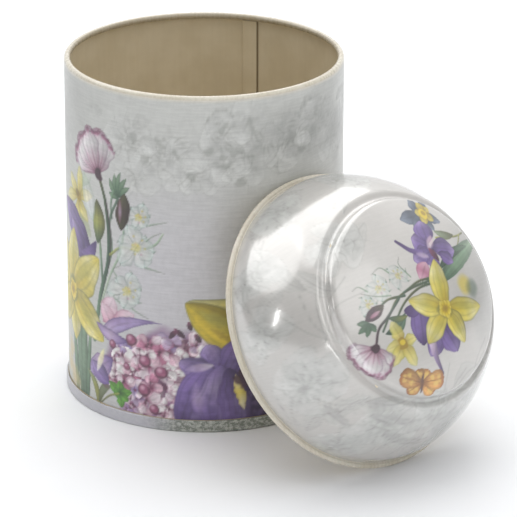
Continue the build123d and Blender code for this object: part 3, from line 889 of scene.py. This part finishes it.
def make_wall_print(name, middle, finish):
    """Half of the wall's print, centred on an azimuth."""
    azimuth = middle + np.linspace(-pi / 2, pi / 2, WALL_COLUMNS)
    art = np.arange(WALL_PRINT[0], WALL_ART_TOP, WALL_PITCH)
    v = np.concatenate([art, np.linspace(WALL_ART_TOP + 0.4, WALL_PRINT[1], 9)])
    thinned = np.where(v < WALL_PRINT[1], FILM_FACE, 0.0)    # it thins out to nothing at the bead
    face = wall_points(azimuth, v, thinned)
    foot = wall_points(azimuth, v[[0, -1]], FILM_FOOT)
    a, b = np.meshgrid((azimuth + pi / 2) * WALL_RADIUS, v, indexing="ij")
    flat = np.stack([a.ravel(), b.ravel()], axis=1)
    make_film(name, face, foot, None, flat, paint_wall(*flat.T), GROUND, "tin", finish)


def lid_ring(turns, radius, height):
    """A ring of points round the lid's axis, in millimetres."""
    out = np.cos(turns)[:, None] * np.array(LID_ACROSS) + np.sin(turns)[:, None] * np.array(LID_UP)
    return np.array(LID_ORIGIN) + radius * out + height * np.array(LID_AXIS)


def lid_points(turns, distances, off):
    """Points a little off the lid's outside, in metres."""
    rings = []
    for distance in distances:
        (radius, height), normal = lid_outline(distance)
        rings.append(lid_ring(turns, radius + normal[0] * off, height + normal[1] * off))
    return np.stack(rings, axis=1) * MM


def make_lid_print(finish):
    """The lid's print, from above the curl to the middle of the dome."""
    turns = np.arange(LID_COLUMNS) / LID_COLUMNS * 2 * pi
    edge = LID_LENGTH - LID_ART_RADIUS
    outer = np.arange(LID_PRINT_FOOT, edge, LID_PITCHES[0])
    inner = np.arange(edge, LID_LENGTH - LID_PITCHES[1] / 2, LID_PITCHES[1])
    distances = np.concatenate([outer, inner])
    last = len(distances) - 1
    dome = int(np.searchsorted(distances, LID_LENGTH - LID_DOME_RADIUS))
    steps = [*range(0, len(outer), 4), *range(len(outer), dome, 2), *range(dome, last, 8), last]
    face = lid_points(turns, distances, FILM_FACE)
    foot = lid_points(turns, distances[steps], FILM_FOOT)
    pole = [lid_points(np.zeros(1), [LID_LENGTH], off)[0, 0] for off in (FILM_FACE, FILM_FOOT)]
    t, d = np.meshgrid(turns, LID_LENGTH - distances, indexing="ij")
    flat = np.stack([(d * np.cos(t)).ravel(), (d * np.sin(t)).ravel()], axis=1)
    make_film("lid_print", face, foot, pole, flat, paint_lid(*flat.T), LID_GROUND, "lid",
              finish)


def make_curl_fill(finish):
    """Lacquer pooled in the crease between the lid's skirt and curl: a closed ring with a hollow face."""
    high = CURL_RADIUS + LID_PRINT_FOOT - POOL_SINK
    out = CURL_MIDDLE[0] - POOL_GAP
    low = CURL_MIDDLE[1] + (CURL_RADIUS ** 2 - POOL_GAP ** 2) ** 0.5 - POOL_SINK
    skirt = LID_RADIUS - 2 * POOL_SINK
    bends = np.linspace(pi / 2, 0, POOL_ROWS)
    profile = [(out - (out - skirt) * sin(bend), high - (high - low) * cos(bend)) for bend in bends]
    profile += [(out - 0.12, low - 0.10), (skirt, low - 0.22)]    # its underside, hidden in the sheets
    turns = np.arange(POOL_COLUMNS) / POOL_COLUMNS * 2 * pi
    points = np.stack([lid_ring(turns, radius, height) for radius, height in profile], axis=1) * MM
    index = np.arange(POOL_COLUMNS * len(profile)).reshape(POOL_COLUMNS, -1)
    loop = np.concatenate([index, index[:, :1]], axis=1)
    fill = add_mesh("lid_curl_fill", points.reshape(-1, 3), grid_faces(loop[:, ::-1], True), finish)
    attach(fill, "lid")


# ---------------------------------------------------------------- finishes

class Nodes:
    """A material's or world's nodes, made by short calls. A value may be a number, a colour or a socket."""

    def __init__(self, owner):
        self.owner = owner
        owner.use_nodes = True
        self.tree = owner.node_tree
        self.tree.nodes.clear()

    def node(self, kind, values=None, **settings):
        """A node with its settings and its inputs, by name or number."""
        node = self.tree.nodes.new("ShaderNode" + kind)
        for key, value in settings.items():
            setattr(node, key, value)
        for key, value in (values or {}).items():
            self.put(node.inputs[key], value)
        return node

    def put(self, socket, value):
        """Join a socket to another or set its value."""
        if isinstance(value, bpy.types.NodeSocket):
            self.tree.links.new(value, socket)
        elif isinstance(value, (np.ndarray, tuple, Vector)):
            socket.default_value = (list(value) + [1.0])[:len(socket.default_value)]
        else:
            socket.default_value = value

    def math(self, operation, a, b=0.0, c=0.0):
        return self.node("Math", {0: a, 1: b, 2: c}, operation=operation).outputs[0]

    def times(self, a, b):
        return self.math("MULTIPLY", a, b)

    def vector(self, operation, a, b=(0, 0, 0), output=0):
        return self.node("VectorMath", {0: a, 1: b}, operation=operation).outputs[output]

    def along(self, place, direction):
        """How far a place lies in a direction."""
        return self.vector("DOT_PRODUCT", place, direction, output=1)

    def mix(self, share, a, b, blend="MIX"):
        values = {0: share, 6: a, 7: b}
        return self.node("Mix", values, data_type="RGBA", blend_type=blend).outputs[2]

    def ease(self, value, low, high, start=0.0, stop=1.0):
        """An easy change from start to stop as a value goes from low to high."""
        values = {0: value, 1: low, 2: high, 3: start, 4: stop}
        return self.node("MapRange", values, interpolation_type="SMOOTHSTEP").outputs[0]

    def noise(self, place, scale, detail=3.0, roughness=0.55):
        """Noise with one scale, or with one for each direction."""
        if isinstance(scale, tuple):
            place, scale = self.vector("MULTIPLY", place, scale), 1.0
        values = {"Vector": place, "Scale": scale, "Detail": detail, "Roughness": roughness}
        return self.node("TexNoise", values).outputs["Fac"]

    def place(self):
        """The point on the object at rest, in millimetres."""
        return self.vector("MULTIPLY", self.node("TexCoord").outputs["Object"], (1 / MM,) * 3)

    def bump(self, height, distance, strength, **under):
        values = {"Height": height, "Distance": distance * MM, "Strength": strength, **under}
        return self.node("Bump", values).outputs[0]

    def surface(self, **values):
        """The shader, with its inputs named in words."""
        named = {}
        for key, value in values.items():
            named[key.replace("_", " ").title().replace("Ior", "IOR")] = value
        self.node("OutputMaterial", {0: self.node("BsdfPrincipled", named).outputs[0]})
        return self.owner


def shade(code):
    """A finish's colour from its six-digit code."""
    return linear(tone(code))


def print_finish(name, gloss, weave, metal):
    """Ink and varnish over white lacquer: the painted colours, a linen grain, mottling and a clear coat.

    gloss is the ink's lowest and highest roughness, then the coat's weight and roughness.
    """
    f = Nodes(bpy.data.materials.new(name))
    ink = f.node("Attribute", attribute_name="paint").outputs["Color"]
    laid = f.node("Attribute", attribute_name="laid_out").outputs["Vector"]
    streak = f.noise(laid, (0.16, 1.5, 1), 4.0, 0.6)
    cross = f.noise(laid, (0.7, 0.35, 1), 3.0, 0.6)
    fine = f.noise(laid, 3.2, 4.0, 0.65)
    grain = f.math("ADD", f.times(streak, 0.5), f.times(cross, 0.25))
    grain = f.math("ADD", grain, f.times(fine, 0.25))
    value = f.ease(grain, 0.36, 0.64, 1 - weave, 1 + weave)
    colour = f.mix(1.0, ink, f.node("CombineColor", {0: value, 1: value, 2: value}).outputs[0], "MULTIPLY")
    speck = f.ease(f.noise(laid, 5.5, 2.0, 0.5), 0.70, 0.78)
    colour = f.mix(f.times(speck, 0.10), colour, shade("8d8a80"))
    rough = f.ease(f.noise(laid, 0.6), 0.3, 0.7, gloss[0], gloss[1])
    relief = f.bump(grain, 0.012, 0.6)
    swell = f.bump(f.noise(laid, 0.09, 1.0), 0.10, 0.5, Normal=relief)
    return f.surface(base_color=colour, metallic=metal, roughness=rough, ior=1.5, normal=relief,
                     coat_weight=gloss[2], coat_roughness=gloss[3], coat_ior=1.8, coat_normal=swell)


def lacquer(f, place, relief=0.4):
    """Colour, roughness and relief of the satin tan lacquer inside, with faint drawn streaks."""
    streak = f.noise(place, (1.1, 1.1, 0.06), 4.0, 0.6)
    colour = f.mix(f.ease(f.noise(place, 0.12), 0.3, 0.7), shade("d3c6aa"), shade("dbcfb5"))
    colour = f.mix(f.ease(streak, 0.35, 0.70, 0.0, 0.10), colour, shade("c3b494"))
    return colour, f.ease(streak, 0.3, 0.7, 0.34, 0.46), f.bump(streak, 0.01, relief)


def cream(f, place):
    """Colour of the lacquered curl or bead, a little worn to darker metal along its crown."""
    colour = f.mix(f.ease(f.noise(place, 0.16, 2.0), 0.3, 0.7), shade("d6d0c1"), shade("cfc7b5"))
    wear = f.ease(f.noise(place, 0.22, 3.0, 0.5), 0.60, 0.80)
    return f.mix(f.times(wear, 0.16), colour, shade("b9a988"))


def ring_gap(f, radius, height, middle):
    """How far a point is from a circle, given its radius and height and the circle's."""
    dr = f.math("SUBTRACT", radius, middle[0])
    dh = f.math("SUBTRACT", height, middle[1])
    return f.math("SQRT", f.math("ADD", f.times(dr, dr), f.times(dh, dh)))


def round_place(f, origin, axis):
    """A point's place in millimetres, its distance from an axis and its height along it."""
    place = f.place()
    off = f.vector("SUBTRACT", place, origin)
    height = f.along(off, axis)
    foot = f.node("VectorMath", {0: axis, 3: height}, operation="SCALE").outputs[0]
    return place, f.vector("LENGTH", f.vector("SUBTRACT", off, foot), output=1), height


def edged_sheet_finish(name, origin, axis, middle, edge_radius, seam=None):
    """A sheet lacquered tan inside, with a smooth cream rolled edge.

    Where it has a seam, a dark line draws its cut edge and paints the shadow at its step,
    and painted shade darkens the inner side of the rolled edge towards tan.
    """
    f = Nodes(bpy.data.materials.new(name))
    place, radius, height = round_place(f, origin, axis)
    gap = ring_gap(f, radius, height, middle)
    rolled = f.ease(gap, edge_radius + 0.30, edge_radius + 0.36, 1.0, 0.0)
    inside, rough, relief = lacquer(f, place, f.math("MULTIPLY_ADD", rolled, -0.37, 0.4))
    edge = cream(f, place)
    if seam is not None:
        # Painted shade: the inner side of the rolled edge, facing the axis, darkened towards tan
        inner = f.ease(radius, middle[0] - 0.15, middle[0] - 0.60, 0.0, 0.6)
        edge = f.mix(inner, edge, shade("8f8062"))
        # A dark line along the seam inside: its cut edge, with painted shadow at its step
        off = f.along(place, (-sin(seam), cos(seam), 0))
        ahead = f.along(place, (cos(seam), sin(seam), 0))
        line = f.ease(f.math("ABSOLUTE", off), 0.16, 0.30, 0.75, 0.0)
        inside = f.mix(f.times(line, f.math("GREATER_THAN", ahead, 0.0)), inside, shade("6d5c41"))
    rough = f.math("MULTIPLY_ADD", rolled, -0.12, rough)
    return f.surface(base_color=f.mix(rolled, inside, edge), roughness=rough, normal=relief, ior=1.5,
                     coat_weight=0.35, coat_roughness=0.12)


def base_finish():
    """The base pan: leafy grey-green print on the ring, tan lacquer inside and bright tinplate beneath."""
    f = Nodes(bpy.data.materials.new("base_pan_finish"))
    place, radius, height = round_place(f, (0, 0, 0), (0, 0, 1))
    inside, rough, relief = lacquer(f, place)
    facing = f.node("SeparateXYZ", {0: f.node("NewGeometry").outputs["Normal"]}).outputs[2]
    parts = f.node("SeparateXYZ", {0: place})
    turn = f.math("ARCTAN2", parts.outputs[1], parts.outputs[0])
    leafy = f.ease(f.math("SINE", f.math("MULTIPLY_ADD", turn, 2.0, 3.7)), -0.45, 0.35)
    blots = f.noise(f.vector("MULTIPLY", place, (1, 1, 1.6)), 0.75, 4.0, 0.65)
    veins = f.node("TexVoronoi", {"Vector": place, "Scale": 0.7},
                   feature="DISTANCE_TO_EDGE").outputs["Distance"]
    green = f.mix(f.ease(blots, 0.42, 0.60), shade("b5b7b0"), shade("777d73"))
    green = f.mix(f.ease(veins, 0.02, 0.10, 0.45, 0.0), green, shade("646b61"))
    ring = f.mix(leafy, f.mix(f.ease(blots, 0.4, 0.7, 0.0, 0.3), shade("bfbec4"), shade("aba9b4")), green)
    roll = f.noise(place, (0.15, 3.0, 3.0), 4.0)
    stain = f.noise(place, 0.08, 4.0)
    metal = f.mix(f.ease(roll, 0.35, 0.65), shade("c9c9c6"), shade("aeaeab"))
    metal = f.mix(f.ease(stain, 0.52, 0.70, 0.0, 0.4), metal, shade("9b9281"))
    on_ring = f.times(f.ease(radius, RING_RADIUS - 0.40, RING_RADIUS - 0.30), f.ease(height, 0.10, 0.25))
    on_top = f.times(f.ease(facing, 0.15, 0.35), f.ease(radius, RING_RADIUS - 0.50, RING_RADIUS - 0.60))
    coated = f.math("MAXIMUM", on_ring, on_top)
    colour = f.mix(on_ring, f.mix(on_top, metal, inside), ring)
    rough = f.node("Mix", {0: coated, 2: f.ease(roll, 0.3, 0.7, 0.22, 0.36), 3: rough}).outputs[0]
    return f.surface(base_color=colour, metallic=f.math("SUBTRACT", 1.0, coated), roughness=rough, ior=1.5,
                     normal=f.bump(roll, 0.008, 0.4, Normal=relief), coat_weight=f.times(coated, 0.4),
                     coat_roughness=0.15)


def floor_finish():
    """A matt white sweep with the faintest mottling."""
    f = Nodes(bpy.data.materials.new("floor_finish"))
    colour = f.mix(f.ease(f.noise(f.place(), 0.02), 0.3, 0.7), shade("f4f5f7"), shade("f6f7f9"))
    return f.surface(base_color=colour, roughness=0.85, specular_ior_level=0.1)


def dress():
    """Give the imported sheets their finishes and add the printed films."""
    tin = edged_sheet_finish("tin_sheet_finish", (0, 0, 0), (0, 0, 1), BEAD_MIDDLE, BEAD_RADIUS,
                             SEAM_GROOVE)
    lid = edged_sheet_finish("lid_sheet_finish", LID_ORIGIN, LID_AXIS, CURL_MIDDLE, CURL_RADIUS)
    for node, finish in (("body_wall", tin), ("base_pan", base_finish()), ("lid", lid)):
        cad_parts[node].material_slots[0].material = finish
    wall = print_finish("wall_print_finish", (0.38, 0.48, 0.25, 0.30), 0.075, 0.0)
    make_wall_print("tin_print_front", -pi / 2, wall)
    make_wall_print("tin_print_back", pi / 2, wall)
    make_curl_fill(lid)
    make_lid_print(print_finish("lid_print_finish", (0.18, 0.25, 1.0, 0.12), 0.03, 0.15))


# ---------------------------------------------------------------- studio

CAMERA_PLACE = (0.01526, -1.009, 0.4228)
CAMERA_DOWN = radians(20.94)
CAMERA_ROLL = radians(0.097)
CAMERA_LENS, CAMERA_SENSOR = 264.6, 36.0
FLOOR_HALF = 4.0
WORLD_ROUND = 0.162
WORLD_GLOWS = (            # (direction, where the glow starts, where it is full, strength)
    ((0, 1, 0.3), 0.15, 0.8, 0.70),
    ((0, 0, 1), 0.25, 0.75, 0.46),
    ((0.7, -0.65, 0.30), 0.35, 1.0, 0.46),
)


def make_floor():
    """A flat pale floor, far wider than the view."""
    corners = np.array(((-1, -1, 0), (1, -1, 0), (1, 1, 0), (-1, 1, 0))) * FLOOR_HALF
    add_mesh("floor", corners, [(0, 1, 2, 3)], floor_finish())


def soft_box(name, place, target, width, height, power):
    """An oblong studio lamp that faces the target."""
    lamp = bpy.data.lights.new(name, "AREA")
    lamp.shape = "RECTANGLE"
    lamp.size, lamp.size_y = width, height
    lamp.energy = power
    box = bpy.data.objects.new(name, lamp)
    bpy.context.scene.collection.objects.link(box)
    box.location = place
    box.rotation_euler = (Vector(target) - Vector(place)).to_track_quat("-Z", "Y").to_euler()
    return box


def make_world():
    """A white studio: each glow brightens the directions that lean its way."""
    f = Nodes(bpy.data.worlds.new("studio"))
    here = f.node("TexCoord").outputs["Generated"]
    light = WORLD_ROUND
    for toward, start, stop, strength in WORLD_GLOWS:
        lean = f.along(here, Vector(toward).normalized())
        light = f.math("ADD", f.ease(lean, start, stop, 0.0, strength), light)
    sky = f.node("Background", {"Color": (1, 1, 1), "Strength": light})
    f.node("OutputWorld", {0: sky.outputs[0]})
    bpy.context.scene.world = f.owner


def make_lamps():
    """A box overhead, two cards that show only as highlights, and two strips."""
    middle = (0.02, -0.03, 0.05)
    soft_box("overhead_box", (-0.10, 0.50, 1.0), (-0.10, 0.50, 0), 0.9, 1.9, 8)
    left_card = soft_box("left_card", (-1.05, 0.10, 1.0), middle, 1.5, 1.1, 8)
    left_card.data.shape = "ELLIPSE"
    dome_card = soft_box("dome_card", (0.9, -0.9, 1.0), middle, 0.8, 0.8, 1.2)
    for card in (left_card, dome_card):
        card.visible_diffuse = False
    soft_box("side_strip", (-1.25, -0.85, 0.42), middle, 0.035, 0.32, 0.8)
    soft_box("front_strip", (0.0, -1.8, 0.14), middle, 0.9, 0.10, 2)


def make_camera():
    """The camera, placed as the photo's was."""
    lens = bpy.data.cameras.new("camera")
    lens.lens, lens.sensor_width = CAMERA_LENS, CAMERA_SENSOR
    lens.clip_end = 20
    camera = bpy.data.objects.new("camera", lens)
    bpy.context.scene.collection.objects.link(camera)
    camera.location = CAMERA_PLACE
    turn = Matrix.Rotation(pi / 2 - CAMERA_DOWN, 3, "X") @ Matrix.Rotation(CAMERA_ROLL, 3, "Z")
    camera.rotation_euler = turn.to_euler()
    bpy.context.scene.camera = camera
    bpy.context.scene.view_settings.view_transform = "Standard"


dress()
make_floor()
make_world()
make_lamps()
make_camera()
